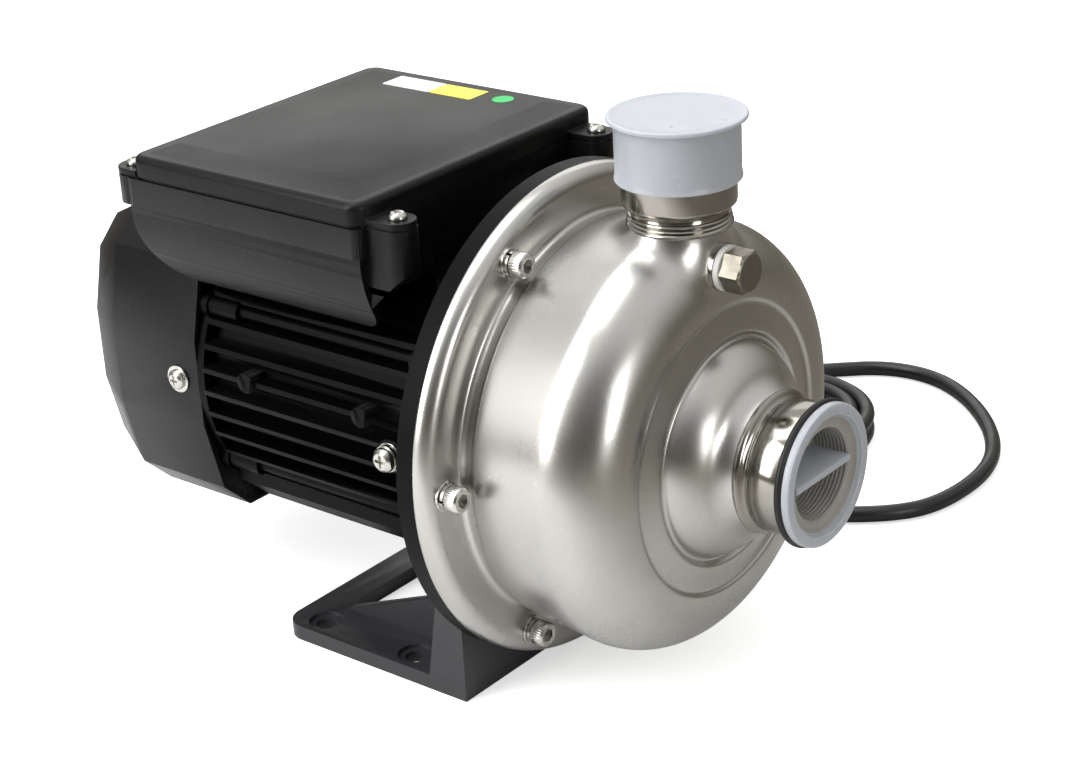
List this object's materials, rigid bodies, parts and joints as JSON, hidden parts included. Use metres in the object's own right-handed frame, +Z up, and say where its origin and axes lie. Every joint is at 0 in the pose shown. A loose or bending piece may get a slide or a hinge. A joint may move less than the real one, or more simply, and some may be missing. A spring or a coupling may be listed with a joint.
{
  "type": "chemical pump",
  "caption": "Close-coupled centrifugal pump: pressed stainless casing with end suction and top discharge, finned motor with terminal box, bent foot and loose power cord.",
  "frame": {"origin": "centre of the foot's four fixing holes, on the foot's underside", "axes": "+X along the shaft towards the suction socket, +Z up through the discharge socket"},
  "size_m": [0.3387, 0.4039, 0.2349],
  "materials": {
    "stainless_casing": "satin",
    "stainless_turned": "polished",
    "zinc_screws": "bright",
    "black_cast": "satin black paint",
    "black_box": "satin, fine texture",
    "milky_plastic": "translucent",
    "black_rubber": "matt",
    "white_washer": "matt",
    "cord_sheath": "satin",
    "laminations": "bare",
    "copper_windings": "varnished",
    "shaft_steel": "ground",
    "cast_aluminium": "as cast",
    "bearing_steel": "polished",
    "seal_carbon": "lapped",
    "fan_plastic": "matt",
    "pale_plastic": "matt",
    "capacitor_can": "drawn",
    "plug_pins": "nickel plated"
  },
  "bodies": {
    "base": {"pump_casing": "stainless_casing", "suction_socket": "stainless_turned", "discharge_socket": "stainless_turned", "priming_boss": "stainless_turned", "wear_ring": "stainless_casing", "casing_o_ring": "black_rubber", "seal_plate": "stainless_casing", "motor_bracket": "black_cast", "flange_screws": "zinc_screws", "flange_spring_washers": "zinc_screws", "flange_washers": "zinc_screws", "motor_frame": "black_cast", "stator_core": "laminations", "stator_windings": "copper_windings", "rear_end_shield": "cast_aluminium", "tie_bolts": "black_cast", "bearing_outer_rings": "bearing_steel", "bearing_balls": "bearing_steel", "seal_seat": "seal_carbon", "fan_cover": "black_box", "fan_cover_screws": "zinc_screws", "terminal_box_base": "black_box", "terminal_box_gasket": "black_rubber", "terminal_box_lid": "black_box", "lid_screws": "zinc_screws", "box_fixing_screws": "zinc_screws", "terminal_block": "pale_plastic", "run_capacitor": "capacitor_can", "cable_gland": "fan_plastic", "gland_nut": "fan_plastic", "earth_screw": "zinc_screws", "earth_washers": "zinc_screws", "foot": "black_cast", "foot_screws": "zinc_screws", "power_cord": "cord_sheath", "cord_coil": "cord_sheath", "cord_tail": "cord_sheath", "mains_plug": "cord_sheath", "mains_plug_pins": "plug_pins"},
    "rotor": {"pump_shaft": "shaft_steel", "rotor_core": "laminations", "impeller": "stainless_casing", "impeller_key": "shaft_steel", "impeller_nut": "stainless_turned", "seal_face": "seal_carbon", "seal_spring": "stainless_turned", "deflector_ring": "black_rubber", "bearing_inner_rings": "bearing_steel", "cooling_fan": "fan_plastic"},
    "discharge_cap": {"discharge_cap": "milky_plastic"},
    "suction_washer": {"suction_plug_washer": "black_rubber"},
    "suction_plug": {"suction_plug": "milky_plastic"},
    "priming_washer": {"priming_washer": "white_washer"},
    "priming_plug": {"priming_plug": "stainless_turned"}
  },
  "joints": [
    {"name": "shaft_spin", "type": "hinge", "parent": "base", "child": "rotor", "pos_m": [0.071, 0, 0.104], "axis": [1, 0, 0], "continuous": true},
    {"name": "discharge_cap_pull", "type": "slide", "parent": "base", "child": "discharge_cap", "axis": [0, 0, 1], "range_m": [0, 0.03]},
    {"name": "suction_plug_advance", "type": "slide", "parent": "base", "child": "suction_washer", "axis": [1, 0, 0], "range_m": [0, 0.01616]},
    {"name": "suction_plug_turn", "type": "hinge", "parent": "suction_washer", "child": "suction_plug", "pos_m": [0.1793, 0, 0.104], "axis": [1, 0, 0], "range_deg": [0, 2520]},
    {"name": "priming_plug_advance", "type": "slide", "parent": "base", "child": "priming_washer", "axis": [1, 0, 0], "range_m": [0, 0.0107]},
    {"name": "priming_plug_turn", "type": "hinge", "parent": "priming_washer", "child": "priming_plug", "pos_m": [0.141, 0, 0.178], "axis": [1, 0, 0], "range_deg": [0, 2880]}
  ],
  "couplings": [
    {"joint": "suction_plug_advance", "follows": "suction_plug_turn", "m_per_rad": 0.00036749},
    {"joint": "priming_plug_advance", "follows": "priming_plug_turn", "m_per_rad": 0.00021279}
  ]
}
